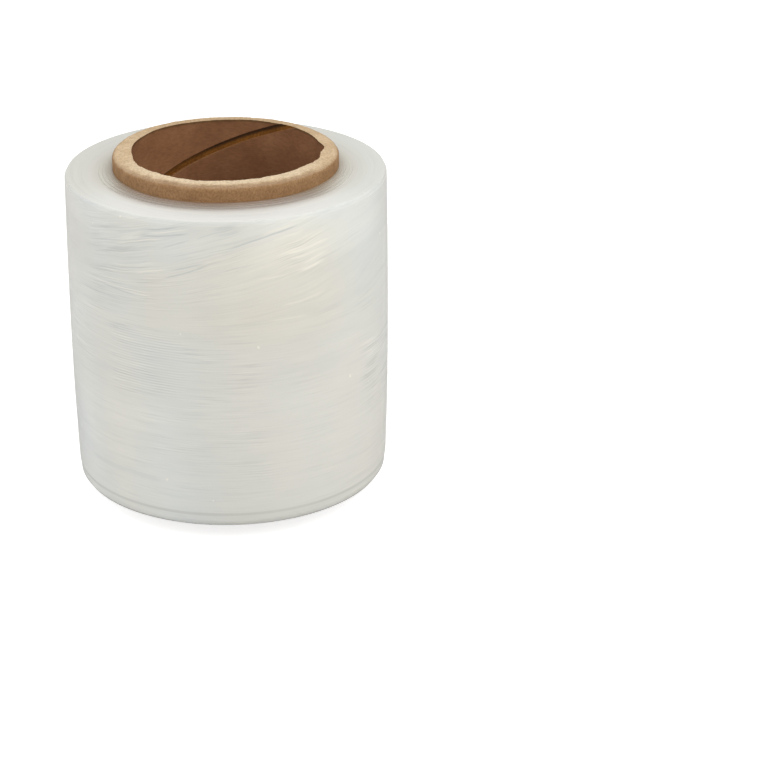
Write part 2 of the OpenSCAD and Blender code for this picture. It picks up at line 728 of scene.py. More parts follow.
@dataclass(frozen=True)
class BoreFinish(BoardFinish):
    """The bore's smooth kraft ply, with painted shade, and a pale cut line with a painted highlight along
    the lower edge of the gap.
    """

    helix: Helix = Helix()
    # pale is the cut edge's paler paper, with a painted highlight where it faces up.
    pale: Screen = (170, 131, 94)
    line_w: Span = (0.1 * MM, 0.5 * MM)
    line_share: float = 0.4
    line_z: Span = (126 * MM, 136 * MM)
    # Painted shade: darker low in the bore, to the right, and in a dark line at the back's upper edge.
    deep_shade_z: Span = (80 * MM, 128 * MM)
    deep_shade_share: Linear = (0.86, 0.84, 0.82, 1.0)
    right_x: Span = (-18 * MM, -4 * MM)
    right_end_x: Span = (14 * MM, 32 * MM)
    right_least: float = 0.35
    right_shading: Linear = (0.86, 0.84, 0.82, 1.0)
    edge: Screen = (84, 63, 30)
    edge_z: Span = (140.7 * MM, 141.4 * MM)
    edge_shade_back: Span = (-0.1, 0.4)
    edge_shade_most: float = 0.6

    def tone(self, nodes: Nodes, base: Socket) -> Socket:
        """Paint shade low down, to the right and at the back's upper edge, and draw the pale cut line with
        its painted highlight.

        Args:
            nodes: The material.
            base: The clouded base colour.

        Returns:
            The colour with the line.
        """
        x, _, z = nodes.split()
        below = nodes.plus(self.helix.offset(nodes), self.helix.half_height)
        near = nodes.fade(nodes.math("ABSOLUTE", below), self.line_w, self.line_share)
        near = nodes.times(near, nodes.fade(z, self.line_z))
        # Painted shade low in the bore, to the right and along the back's upper edge; then the pale cut line
        # with its painted highlight.
        shaded_colour = nodes.tint(nodes.fade(z, self.deep_shade_z), base, self.deep_shade_share)
        past = nodes.fade(x, self.right_end_x, 1.0, self.right_least)
        right = nodes.times(nodes.rise(x, self.right_x), past)
        shaded_colour = nodes.tint(right, shaded_colour, self.right_shading)
        back = nodes.rise(nodes.facing(), self.edge_shade_back)
        edge = nodes.times(nodes.rise(z, self.edge_z, self.edge_shade_most), back)
        shaded_colour = nodes.mix(edge, shaded_colour, linear(*self.edge))
        return nodes.mix(near, shaded_colour, linear(*self.pale))


@dataclass(frozen=True)
class GapFinish(BoardFinish):
    """The ply under the gap: orange brown, and dark along the upper edge that shades it.

    Both spans run across the gap, from -1 at its lower edge to 1 at its upper edge.
    """

    helix: Helix = Helix()
    shade: Screen = (58, 34, 8)
    shade_span: Span = (-0.4, 0.5)
    shade_z: Span = (122 * MM, 133 * MM)
    shade_least: float = 0.3
    # pale is the cut edge's paler paper, with a painted highlight where it faces up.
    pale: Screen = (150, 108, 66)
    pale_span: Span = (-0.98, -0.85)
    pale_share: float = 0.4

    def tone(self, nodes: Nodes, base: Socket) -> Socket:
        """Paint shade towards the upper edge, and brighten the cut edge below with its paler paper and a
        painted highlight.

        Args:
            nodes: The material.
            base: The clouded base colour.

        Returns:
            The shaded colour.
        """
        _, _, z = nodes.split()
        across = nodes.math("DIVIDE", self.helix.offset(nodes), self.helix.half_height)
        high = nodes.rise(z, self.shade_z, 1.0, self.shade_least)
        dark = nodes.times(nodes.rise(across, self.shade_span), high)
        pale = nodes.fade(across, self.pale_span, self.pale_share)
        return nodes.mix(pale, nodes.mix(dark, base, linear(*self.shade)), linear(*self.pale))


BOARD_OUTER = OuterBoardFinish("board_outer", (196, 171, 138), (188, 162, 129), (204, 180, 148), 0.12 * MM,
                               grain=0.75)
BOARD_BORE = BoreFinish("board_bore", (137, 95, 64), (129, 88, 58), (145, 103, 71), 0.05 * MM,
                        cloud=Noise(90), fibre_stretch=(0.35, 0.35, 1.0), grain=0.45, speckle_share=0.1,
                        roughness=0.75)
BOARD_GAP = GapFinish("board_gap", (114, 71, 20), (106, 65, 17), (124, 79, 26), 0.06 * MM, speckle_share=0.1)


@dataclass(frozen=True)
class FilmFinish:
    """What the film's side and end faces share: milky, satin and slightly see-through."""

    name: str
    base: Screen
    # shade and glow are the painted shade and painted highlight of the side's wrinkles, creases and specks.
    shade: Screen = (184, 189, 191)
    glow: Screen = (246, 242, 230)
    roughness: float = 0.2
    refraction: float = 1.51
    milk: float = 0.25
    milk_spread: Triple = (1.0, 1.0, 0.95)
    milk_depth: float = 3 * MM

    def toned(self, nodes: Nodes, colour: Socket) -> Socket:
        """Paint shade on a colour where the piece's painted light is below zero, and a highlight where it is
        above.

        Args:
            nodes: The material.
            colour: The plain colour.

        Returns:
            The toned colour.
        """
        tone = nodes.attribute(Layer.PAINTED_LIGHT)
        darker = nodes.mix(nodes.spread(tone, (-1.0, 0.0), (1.0, 0.0)), colour, linear(*self.shade))
        return nodes.mix(nodes.spread(tone, (0.0, 1.0)), darker, linear(*self.glow))

    def dress(self, nodes: Nodes, colour: Socket) -> None:
        """Set the shader's colour, gloss and milkiness.

        Args:
            nodes: The material.
            colour: The finished colour.
        """
        nodes.set(Base_Color=colour, Roughness=self.roughness, IOR=self.refraction,
                  Subsurface_Weight=self.milk, Subsurface_Radius=self.milk_spread,
                  Subsurface_Scale=self.milk_depth)


@dataclass(frozen=True)
class Crease:
    """A fine fold in the outer turns, in millimetres.

    Its place is its level in the streaks' flow and its ends along X. Its tilt is its own lean beside the
    flow's. It is painted shade, and a strength below zero makes it a painted highlight, lighter than the
    film around it. Its core is the share of its width over which it shows in full.
    """

    level: float
    start: float
    end: float
    tilt: float
    width: float
    strength: float
    core: float = 0.2

    def line(self, nodes: Nodes, level: Socket, fade: float) -> Socket:
        """Draw the crease as a thin soft line that dies away at its ends.

        Args:
            nodes: The material.
            level: The flow's level.
            fade: Length over which it dies away.

        Returns:
            How strongly it shows, from 0 to its strength.
        """
        x, _, _ = nodes.split()
        middle = (self.start + self.end) / 2 * MM
        half = (self.end - self.start) / 2 * MM
        width = self.width * MM
        leaned = nodes.math("MULTIPLY_ADD", x, -self.tilt, level)
        shift = nodes.minus(leaned, self.level * MM - self.tilt * middle)
        core = nodes.fade(nodes.math("ABSOLUTE", shift), (self.core * width, width))
        off = nodes.math("ABSOLUTE", nodes.minus(x, middle))
        return nodes.times(core, nodes.fade(off, (half - fade, half), abs(self.strength)))


@dataclass(frozen=True)
class Flow:
    """How the streaks run: level round the lower part, and leaning across it near the upper end."""

    lean: float = 0.28
    low: float = 84 * MM
    high: float = 118 * MM

    def slope(self, z: float) -> float:
        """Work out the lean at a height."""
        return self.lean * float(smoothstep(self.low, self.high, np.array(z)))

    def level(self, nodes: Nodes) -> Socket:
        """Work out the number that stays the same along a streak.

        Args:
            nodes: The material that reads it.

        Returns:
            The height in metres at which the streak crosses the middle of the photographed side.
        """
        x, _, z = nodes.split()
        share = nodes.rise(z, (self.low, self.high), self.lean)
        return nodes.minus(z, nodes.times(x, share))


@dataclass(frozen=True)
class FilmSideFinish(FilmFinish):
    """The wound film's side, with fine streaks and a few long creases.

    The fine streaks and the broader folds are noise that is drawn out along the flow. Both show in patches,
    and tint the colour lighter and darker as painted reflections over their bumps. The comb is a set of even
    lines of painted reflection where the streaks are strongest. The wave bends them all. The dark creases
    are painted shade and the light ones painted highlight, over a bump, and the amber tint is a painted warm
    reflection. The hem is the line at which the outermost turns stop short, drawn as a painted shadow line
    with specks of painted glint; the crown is the strip under the upper edge, with painted shade in its
    middle; and the edge is its rounding, with painted shade and more roughness.
    """

    flow: Flow = Flow()
    cool: Screen = (219, 221, 218)
    warm: Screen = (224, 222, 214)
    cloud: Noise = Noise(18, 2)
    cloud_stretch: Triple = (1.0, 1.0, 0.6)
    cloud_places: Triple = (0.35, 0.5, 0.65)
    # The amber tint is a painted warm reflection on the side that faces -Y.
    amber: Screen = (226, 220, 204)
    amber_low: Span = (79 * MM, 95 * MM)
    amber_high: Span = (116 * MM, 128 * MM)
    amber_left: Span = (-38 * MM, -24 * MM)
    amber_right: Span = (34 * MM, 56 * MM)
    amber_top: Span = (125 * MM, 135 * MM)
    warm_reflection_share: float = 0.4
    wave: Noise = Noise(70, 1)
    wave_stretch: Triple = (1.0, 1.0, 0.4)
    wave_h: float = 2.5 * MM
    calm_share: float = 0.2
    fine: Noise = Noise(1650, 2, 0.55, 0.03)
    fine_reflection_stops: Stops = share_stops((0.32, 0.70, 0.71, 0.72), (0.46, 0.985, 0.985, 0.985),
                                    (0.54, 1.01, 1.01, 1.01), (0.68, 1.18, 1.17, 1.16))
    fine_relief: Relief = Relief(0.20 * MM, 0.9)
    folds: Noise = Noise(480, 2, 0.5, 0.10)
    fold_reflection_stops: Stops = share_stops((0.28, 0.88, 0.89, 0.90), (0.44, 1, 1, 1), (0.56, 1, 1, 1),
                                    (0.72, 1.08, 1.07, 1.05))
    fold_relief: Relief = Relief(0.22 * MM, 0.8)
    fold_gain: float = 1.8
    patch: Noise = Noise(150, 1, 0.5, 0.4)
    patch_span: Span = (0.4, 0.6)
    patch_least: float = 0.4
    comb_span: Span = (0.5, 0.95)
    comb_calm: float = 0.6
    comb_pitch: float = 1.1 * MM
    comb_reflection_depth: float = 0.09
    comb_drift: Noise = Noise(90, 1, 0.5, 0.5)
    comb_sway: float = 7.0
    hem_z: float = 12 * MM
    hem_w: Span = (0.3 * MM, 0.9 * MM)
    # The hem line is painted shadow under the step of the outermost turns, and the specks are painted
    # glints.
    hem_shade: Screen = (194, 194, 188)
    hem_share: float = 0.45
    glint_noise: Noise = Noise(380, 0)
    glint_span: Span = (0.86, 0.88)
    glint_share: float = 0.6
    # The crown and edge shares are painted shade under and on the upper edge.
    crown_z: Span = (127 * MM, 134 * MM)
    crown_left: Span = (-30 * MM, 5 * MM)
    crown_right: Span = (15 * MM, 32 * MM)
    crown_shade_share: Linear = (0.965, 0.97, 0.98, 1.0)
    edge_z: Span = (132.4 * MM, 133.9 * MM)
    edge_shade_share: Linear = (0.93, 0.935, 0.945, 1.0)
    edge_roughness: float = 0.6
    crease_fade: float = 5 * MM
    crease_share: float = 0.8
    crease_depth: float = 0.4
    front_creases: tuple[Crease, ...] = (
        Crease(136.6, -29, -13, -0.03, 0.45, 0.50),
        Crease(133.8, -31, -9, -0.07, 0.50, 0.60),
        Crease(134.5, -48, -34, 0.16, 0.40, 0.30),
        Crease(131.7, -39, -22, -0.00, 0.40, 0.30),
        Crease(130.1, -45, -24, -0.01, 0.40, 0.30),
        Crease(129.9, -23, -9, 0.12, 0.40, 0.40),
        Crease(125.2, -19, -1, -0.01, 0.40, 0.30),
        Crease(119.7, -19, -3, -0.01, 0.50, 0.60),
        Crease(117.5, -22, -2, 0.10, 0.50, 0.60),
        Crease(109.4, -49, -30, -0.26, 0.45, 0.45),
        Crease(122.9, 3, 31, 0.00, 0.50, 0.62),
        Crease(114.1, 1, 15, -0.07, 0.40, 0.30),
        Crease(130.5, -10, 9, -0.01, 0.40, 0.30),
        Crease(120.2, -33, -18, 0.06, 0.50, -0.60),
        Crease(111.0, -50, -25, -0.16, 0.45, -0.60),
        Crease(108.7, -40, -24, -0.20, 0.45, -0.60),
        Crease(124.1, 15, 30, -0.05, 0.90, -0.50),
        Crease(120.2, 20, 33, -0.08, 0.80, -0.50),
        Crease(112.2, 24, 42, -0.12, 0.80, -0.80),
        Crease(109.8, 25, 40, -0.15, 0.70, -0.60),
        Crease(106.6, 30, 42, -0.05, 0.70, -0.70),
        Crease(104.5, 28, 41, -0.12, 0.80, -0.80),
        Crease(96.4, 22, 41, -0.02, 0.45, -0.40),
        Crease(92.5, 18, 34, -0.04, 0.45, -0.30),
        Crease(106.4, 14, 27, -0.17, 0.50, -0.40),
        Crease(135.2, -27, -9, -0.06, 0.50, -0.50),
        Crease(132.9, -41, -19, 0.00, 0.50, -0.50),
        Crease(131.6, -3, 9, -0.08, 1.00, 0.35),
        Crease(128.9, -2, 11, -0.07, 0.80, 0.30),
        Crease(137.1, -40, -23, 0.04, 0.70, 0.30),
        Crease(104.4, -56, -36, -0.06, 1.20, 0.25),
        Crease(26.5, -56, -36, 0.04, 1.60, 0.22),
        Crease(26.8, -41, -23, -0.08, 1.60, 0.20),
    )
    back_creases: tuple[Crease, ...] = (
        Crease(125.0, -34, 10, 0.02, 0.55, 0.6),
        Crease(116.5, -12, 40, -0.02, 0.55, 0.5),
        Crease(121.0, -30, -4, 0.05, 0.60, -0.6),
        Crease(78.0, 5, 38, 0.00, 0.50, 0.5),
        Crease(61.5, -25, 12, 0.03, 0.60, -0.5),
    )

    def fold(self, nodes: Nodes, level: Socket, sign: int) -> Socket:
        """Sum the dark creases, which are painted shade, or the light ones, which are painted highlight.

        Args:
            nodes: The material.
            level: The flow's level.
            sign: 1 for the dark creases, -1 for the light ones.

        Returns:
            Where such a crease runs, from 0 to 1.
        """
        _, y, _ = nodes.split()
        in_front = nodes.math("LESS_THAN", y, 0.0)
        behind = nodes.minus(1.0, in_front)
        total = 0.0
        for creases, shown in ((self.front_creases, in_front), (self.back_creases, behind)):
            for crease in creases:
                if crease.strength * sign > 0:
                    line = crease.line(nodes, level, self.crease_fade)
                    total = nodes.plus(total, nodes.times(line, shown))
        return total

    def warm_reflection_cover(self, nodes: Nodes, level: Socket) -> Socket:
        """Work out how strongly the amber tint, a painted warm reflection, covers a point of the side that
        faces -Y.

        Args:
            nodes: The material.
            level: The flow's level.

        Returns:
            The tint's share.
        """
        x, y, z = nodes.split()
        tall = nodes.times(nodes.rise(level, self.amber_low), nodes.fade(level, self.amber_high))
        wide = nodes.times(nodes.rise(x, self.amber_left), nodes.fade(x, self.amber_right))
        under = nodes.fade(z, self.amber_top, self.warm_reflection_share)
        return nodes.times(tall, wide, under, nodes.math("LESS_THAN", y, 0.0))

    def comb(self, nodes: Nodes, level: Socket) -> Socket:
        """Draw even fine lines of painted reflection along the flow.

        Args:
            nodes: The material.
            level: The flow's level.

        Returns:
            A wave from -1 to 1 across the lines.
        """
        drift = nodes.times(nodes.drawn(level, self.comb_drift), self.comb_sway)
        return nodes.math("SINE", nodes.math("MULTIPLY_ADD", level, math.tau / self.comb_pitch, drift))

    def hemmed(self, nodes: Nodes, colour: Socket) -> Socket:
        """Draw a painted shadow line where the outermost turns stop short, and a few specks of painted
        glint.

        Args:
            nodes: The material.
            colour: The streaked colour.

        Returns:
            The colour with the line and the specks.
        """
        _, _, z = nodes.split()
        line = nodes.fade(nodes.math("ABSOLUTE", nodes.minus(z, self.hem_z)), self.hem_w, self.hem_share)
        glint_noise = nodes.noise(nodes.place, self.glint_noise)
        specks = nodes.spread(glint_noise, self.glint_span, (0.0, self.glint_share))
        return nodes.mix(line, nodes.mix(specks, colour, linear(*self.glow)), linear(*self.hem_shade))

    def crown_shaded(self, nodes: Nodes, colour: Socket) -> Socket:
        """Paint shade on the middle of the strip under the upper edge.

        Args:
            nodes: The material.
            colour: The streaked colour.

        Returns:
            The dimmed colour.
        """
        x, _, z = nodes.split()
        middle = nodes.times(nodes.rise(x, self.crown_left), nodes.fade(x, self.crown_right))
        return nodes.tint(nodes.times(nodes.rise(z, self.crown_z), middle), colour, self.crown_shade_share)

    def build(self) -> bpy.types.Material:
        """Make the material.

        Returns:
            The film material, which reads object coordinates and the piece's attributes.
        """
        nodes = Nodes(self.name)
        _, _, z = nodes.split()
        high = nodes.rise(z, (self.flow.low, self.flow.high), 1.0, self.calm_share)
        wave = nodes.centred(nodes.noise(nodes.stretch(self.wave_stretch), self.wave))
        level = nodes.plus(nodes.times(wave, high, self.wave_h), self.flow.level(nodes))
        lines = nodes.attribute(Layer.LINES)
        combed = nodes.rise(lines, self.comb_span)
        patches = nodes.rise(nodes.drawn(level, self.patch), self.patch_span, 1.0, self.patch_least)
        calmed = nodes.math("MULTIPLY_ADD", combed, -self.comb_calm, 1.0)
        strength = nodes.times(lines, patches, calmed)
        folded = nodes.math("MINIMUM", nodes.times(high, strength, self.fold_gain), 1.0)
        fine = nodes.drawn(level, self.fine)
        folds = nodes.drawn(level, self.folds)
        cloud = nodes.noise(nodes.stretch(self.cloud_stretch), self.cloud)
        colour = nodes.ramp(cloud, spaced_stops(self.cloud_places, (self.cool, self.base, self.warm)))
        colour = nodes.mix(self.warm_reflection_cover(nodes, level), colour, linear(*self.amber))
        # Painted reflections: the fine streaks and the folds tint the colour lighter and darker.
        colour = nodes.tint(strength, colour, nodes.ramp(fine, self.fine_reflection_stops))
        colour = nodes.tint(folded, colour, nodes.ramp(folds, self.fold_reflection_stops))
        # The comb's even lines are painted reflection, and the zones' gain paints soft light and shade.
        tooth = nodes.times(self.comb(nodes, level), combed, patches)
        toothed = nodes.math("MULTIPLY_ADD", tooth, self.comb_reflection_depth, 1.0)
        gain = nodes.times(toothed, nodes.plus(1.0, nodes.attribute(Layer.ZONES)))
        colour = nodes.multiply(colour, nodes.combine(gain, gain, gain))
        dark = self.fold(nodes, level, 1)
        light = self.fold(nodes, level, -1)
        # Light creases are painted highlight, dark creases painted shade.
        colour = nodes.mix(nodes.times(light, self.crease_share), colour, linear(*self.glow))
        colour = nodes.mix(nodes.times(dark, self.crease_share), colour, linear(*self.shade))
        colour = self.crown_shaded(nodes, self.hemmed(nodes, colour))
        # Painted shade over the edge's rounding, with more roughness, to dim its highlight.
        edge = nodes.rise(z, self.edge_z)
        self.dress(nodes, self.toned(nodes, nodes.tint(edge, colour, self.edge_shade_share)))
        nodes.set(Roughness=nodes.spread(edge, (0.0, 1.0), (self.roughness, self.edge_roughness)))
        ridged = nodes.times(nodes.centred(folds), folded)
        creased = nodes.minus(ridged, nodes.times(dark, self.crease_depth))
        raised = nodes.times(nodes.centred(fine), strength)
        nodes.set(Normal=nodes.bump(raised, self.fine_relief, nodes.bump(creased, self.fold_relief)))
        return nodes.material


@dataclass(frozen=True)
class FilmEndFinish(FilmFinish):
    """The film's end faces: the edges of the turns, the inner ones painted with shade and the brown core
    showing through.

    Their colours run through stops from the core outwards, in front to the base colour with painted light
    and shade on the crept steps, and in another way to the sides and at the back. The right is painted
    lighter, and the steep risers of the crept turns get a painted brownish shade, most in front.
    """

    core_r: float = 44.5 * MM
    tint_w: float = 12.0 * MM
    # Painted shade beside the core and its brown seen through the inner turns; in front, painted light and
    # shade on the crept steps.
    aside_painted: Stops = screen_stops(
        (0.0, 168, 160, 145), (0.12, 180, 173, 159), (0.25, 192, 188, 176), (0.4, 199, 196, 185),
        (0.6, 200, 198, 189), (0.8, 201, 200, 192), (1.0, 201, 201, 194),
    )
    ahead_painted: Stops = screen_stops(
        (0.0, 150, 116, 85), (0.08, 137, 112, 88), (0.11, 138, 117, 97), (0.15, 172, 155, 138),
        (0.19, 140, 124, 109), (0.25, 139, 127, 115), (0.29, 176, 165, 153), (0.33, 143, 133, 122),
        (0.36, 142, 133, 124), (0.39, 172, 164, 156), (0.42, 156, 148, 140), (0.47, 184, 180, 174),
        (0.56, 208, 206, 201), (0.70, 217, 217, 213), (0.85, 219, 220, 216),
    )
    ahead_front: Span = (0.3, 0.9)
    ring: Noise = Noise(1300, 3, 0.6, 0.02)
    ring_stops: Stops = share_stops((0.3, 0.95, 0.95, 0.95), (0.5, 1, 1, 1), (0.7, 1.02, 1.02, 1.02))
    ring_relief: Relief = Relief(0.1 * MM, 0.5)
    # The right is painted lighter.
    right_x: Span = (32 * MM, 56 * MM)
    right_shading: Linear = (1.05, 1.065, 1.08, 1.0)
    step_level: Span = (0.6, 0.9)
    step_back: Span = (-0.95, -0.3)
    step_least: float = 0.25
    step_depth: Span = (0.1, 0.42)
    # Painted brownish shade on the steep risers of the crept turns.
    inner_riser_shade: Screen = (126, 106, 92)
    outer_riser_shade: Screen = (160, 151, 142)

    def build(self) -> bpy.types.Material:
        """Make the material.

        Returns:
            The film material, which reads object coordinates.
        """
        nodes = Nodes(self.name)
        x, _, _ = nodes.split()
        r = nodes.axis_radius()
        # Painted shade and the core's brown seen through the turns, different in front and to the sides.
        depth = nodes.math("DIVIDE", nodes.minus(r, self.core_r), self.tint_w)
        aside_painted = nodes.ramp(depth, self.aside_painted)
        ahead_painted = nodes.ramp(depth, (*self.ahead_painted, (1.0, linear(*self.base))))
        face = nodes.mix(nodes.toward_front(self.ahead_front), aside_painted, ahead_painted)
        ring = nodes.drawn(r, self.ring)
        face = nodes.multiply(face, nodes.ramp(ring, self.ring_stops))
        # Painted light on the right.
        face = nodes.tint(nodes.rise(x, self.right_x), face, self.right_shading)
        # Painted shade on the risers of the crept turns, most in front.
        steep = nodes.fade(nodes.steepness(), self.step_level)
        shown = nodes.times(steep, nodes.fade(nodes.facing(), self.step_back, 1.0, self.step_least))
        outward = nodes.spread(depth, self.step_depth)
        step = nodes.mix(outward, linear(*self.inner_riser_shade), linear(*self.outer_riser_shade))
        self.dress(nodes, nodes.mix(shown, face, step))
        nodes.set(Normal=nodes.bump(ring, self.ring_relief))
        return nodes.material


@dataclass
class PaperCore:
    """The spiral-wound paper core: straight bore, worn and fuzzy cut end, and the innermost ply's gap.

    Depths lie below the upper end. The worn amounts are an even one, one for lumps and one for fuzz. The
    worn edge lists directions in degrees, and how far the bore's edge lies outwards there in millimetres.
    """

    low: Vector
    high: Vector
    helix: Helix = Helix()
    ply_t: float = 0.55 * MM
    rim_fall: float = 0.25 * MM
    lip_w: float = 2.7 * MM
    lip_h: float = 1.7 * MM
    lip_reach: float = 5
    sharp_azimuth: float = 105.0
    sharp_span: Span = (0.2, 0.9)
    sharp_share: float = 0.55
    columns: int = 400
    ring_steps: tuple[float, ...] = (
        0.06, 0.18, 0.36, 0.6, 0.9, 1.3, 1.8, 2.4, 3.1, 3.8, 4.4, 4.9, 5.3, 5.7, 6.05,
    )
    row_depths: tuple[float, ...] = (0.3, 0.6, 1.0, 1.5, 2.1, 2.8, 3.7, 4.6, 5.8, 7.0, 8.5)
    row_step: float = 8 * MM
    row_count: int = 15
    cutter_over: float = 4 * MM
    cutter_in: float = 1 * MM
    cutter_steps: int = 240
    burr_depth: Span = (1.6 * MM, 0.2 * MM)
    oval_depth: Span = (16 * MM, 1 * MM)
    side_depth: Span = (9 * MM, 7 * MM)
    face_depth: Span = (0.8 * MM, 0.3 * MM)
    edge_w: float = 2.2 * MM
    edge_rough: float = 0.16 * MM
    side_w: float = 1.5 * MM
    side_worn: Triple = (0.06 * MM, 0.05 * MM, 0.05 * MM)
    face_worn: Triple = (0.12 * MM, 0.10 * MM, 0.09 * MM)
    fuzz_scale: float = 900
    fuzz_layers: tuple[float, float, int] = (0.6, 2.0, 3)
    lump_scale: float = 260
    touch: float = 0.05 * MM
    slack: float = 0.1 * MM
    end_depth: float = 2 * MM
    ply_reach: float = 1.5 * MM
    level_normal: float = 0.6
    inward_normal: float = 0.5
    worn_edge: tuple[Span, ...] = (
        (-180, -1.1), (-170, -1.5), (-160, -0.9), (-148, -0.4), (-138, -0.7), (-125, -0.7), (-110, -0.5),
        (-100, -0.1), (-90, -0.9), (-80, -1.0), (-70, -0.8), (-60, -1.2), (-48, -1.0), (-37, -1.1),
        (-29, -1.0), (-18, 0.3), (-5, -0.6), (0, 0.0), (6, 0.9), (17, -0.4), (28, 0.1), (46, 0.8),
        (55, 0.9), (70, 1.3), (80, 1.6), (90, 1.2), (110, 1.0), (130, 1.3), (140, 1.0), (152, 0.0),
        (166, -0.4),
    )

    @property
    def outer_r(self) -> float:
        """Outer radius of the core."""
        return self.high.x

    @property
    def top(self) -> float:
        """Height of the core's upper end."""
        return self.high.z

    def gap_bar(self) -> bpy.types.Object:
        """Model the helical bar that cuts the gap of the innermost ply.

        Returns:
            The bar, which runs past both ends of the core.
        """
        over = self.cutter_over
        helix = self.helix
        start = math.radians(helix.top_azimuth) + (self.top + over) / helix.pitch * math.tau
        turns = (self.top + 2 * over) / helix.pitch
        deselect_all()
        bpy.ops.mesh.primitive_plane_add(size=1, location=(0, 0, 0))
        bar = bpy.context.object
        bar.name = "gap_bar"
        middle = helix.bore_r + (self.ply_t - self.cutter_in) / 2
        tall = Matrix.Diagonal((self.ply_t + self.cutter_in, 2 * helix.half_height, 1, 1))
        stand = Matrix.Rotation(math.pi / 2, 4, "X")
        place = Matrix.Rotation(start, 4, "Z") @ Matrix.Translation((middle, 0, -over))
        bar.data.transform(place @ stand @ tall)
        screw = bar.modifiers.new("screw", "SCREW")
        screw.axis = "Z"
        screw.angle = -turns * math.tau
        screw.screw_offset = turns * helix.pitch
        screw.steps = self.cutter_steps
        screw.render_steps = self.cutter_steps
        screw.use_smooth_shade = False
        activate(bar)
        bpy.ops.object.modifier_apply(modifier="screw")
        finish_mesh(bar, 20)
        return bar

    def near_top(self, z: np.ndarray, depths: Span) -> np.ndarray:
        """Rise from 0 at one depth below the upper end to 1 at another."""
        return smoothstep(self.top - depths[0], self.top - depths[1], z)

    def roughen(self, piece: bpy.types.Object) -> None:
        """Round the cut end's lip, pull its inner edge in and out, and give the paper its fuzz.

        Args:
            piece: The cut core.
        """
        bore_r = self.helix.bore_r
        points = points_of(piece)
        x, y, z = points.T
        r = np.hypot(x, y)
        azimuth = np.degrees(np.arctan2(y, x))
        fuzz = np.array([noise.fractal(Vector(p) * self.fuzz_scale, *self.fuzz_layers) for p in points])
        lumps = np.array([noise.noise(Vector(p) * self.lump_scale) for p in points])
        burr = self.near_top(z, self.burr_depth)
        inner = smoothstep(bore_r + self.edge_w, bore_r, r)
        directions, offsets = zip(*self.worn_edge)
        edge = np.interp(azimuth, directions, np.array(offsets) * MM, period=360)
        reach = np.where(edge > 0, self.near_top(z, self.oval_depth), burr)
        shift = inner * (reach * edge + burr * self.edge_rough * (lumps + fuzz))
        outer = smoothstep(self.outer_r - self.side_w, self.outer_r, r)
        even, lumpy, fuzzy = self.side_worn
        shift -= self.near_top(z, self.side_depth) * outer * (even + lumpy * lumps + fuzzy * fuzz)
        sharp = smoothstep(*self.sharp_span, np.cos(np.radians(azimuth - self.sharp_azimuth)))
        wear = 1 - (1 - self.sharp_share) * sharp
        fall = wear * burr * self.rim_fall * np.clip((r - bore_r) / (self.outer_r - bore_r), 0, 1)
        lip_w = wear * self.lip_w
        lip_h = wear * self.lip_h
        round_r = np.clip((r - (self.outer_r - lip_w)) / lip_w, 0, 1)
        on_face = z > self.top - self.touch
        lip = lip_h * np.where(on_face, 1 - np.sqrt(1 - round_r ** 2), 0)
        on_side = (r > self.outer_r - self.touch) & ~on_face
        squeeze = lip_h * self.near_top(z, (self.lip_reach * lip_h, 0))
        even, lumpy, fuzzy = self.face_worn
        worn = self.near_top(z, self.face_depth) * (even + lumpy * lumps + fuzzy * fuzz)
        drop = fall + worn + lip + np.where(on_side, squeeze, 0)
        scale = (r + shift) / r
        place_points(piece, np.stack([x * scale, y * scale, z - drop], axis=1))

    def rings(self, side: Side) -> list[float]:
        """List the radii of an end face's rings, close together at the worn lip.

        Args:
            side: The end.

        Returns:
            The radii from the outside in.
        """
        inner = self.helix.bore_r
        if side is Side.LOWER:
            return [(self.outer_r + inner) / 2, inner]
        return [self.outer_r - step * MM for step in self.ring_steps] + [inner]

    def build(self) -> bpy.types.Object:
        """Model the core.

        Returns:
            The finished piece, with three material slots.
        """
        core = wall_ring("core_board_tube", self.columns, self.outer_r, (self.low.z, self.top),
                         {side: self.rings(side) for side in (Side.UPPER, Side.LOWER)})
        fine = [self.top - depth * MM for depth in self.row_depths]
        coarse = [self.low.z + (row + 1) * self.row_step for row in range(self.row_count)]
        slice_rows(core, fine + coarse)
        bar = self.gap_bar()
        cut = core.modifiers.new("gap", "BOOLEAN")
        cut.operation = "DIFFERENCE"
        cut.solver = "EXACT"
        cut.object = bar
        activate(core)
        bpy.ops.object.modifier_apply(modifier="gap")
        bpy.data.objects.remove(bar)
        finish_mesh(core, 40)
        self.dress(core)
        self.roughen(core)
        join_body(core, "core_tube")
        return core

    def dress(self, core: bpy.types.Object) -> None:
        """Give the outer side, the cut ends, the bore and the gap their board finishes.

        Args:
            core: The cut core, before it is roughened.
        """
        bore_r = self.helix.bore_r
        finishes = (BOARD_OUTER, BOARD_BORE, BOARD_GAP)
        core.data.materials.clear()
        for finish in finishes:
            core.data.materials.append(finish.build())
        for face in core.data.polygons:
            centre = face.center
            r = radius(centre)
            outward = (centre.x * face.normal.x + centre.y * face.normal.y) / r
            at_end = centre.z > self.top - self.end_depth or centre.z < self.slack
            cut_end = at_end and abs(face.normal.z) > self.level_normal
            if cut_end or r > bore_r + self.ply_reach:
                finish = BOARD_OUTER
            elif outward < -self.inward_normal and r < bore_r + self.slack:
                finish = BOARD_BORE
            else:
                finish = BOARD_GAP
            face.material_index = finishes.index(finish)


@dataclass(frozen=True)
class Streaks:
    """A band of wrinkles that run round the wound film, between two heights in metres.

    Their length, width and height are the limits of random draws, in millimetres. Its tone is how strongly
    its wrinkles are painted lighter and darker.
    """

    count: int
    low: float
    high: float
    length: Span
    width: Span
    height: Span
    tone: float


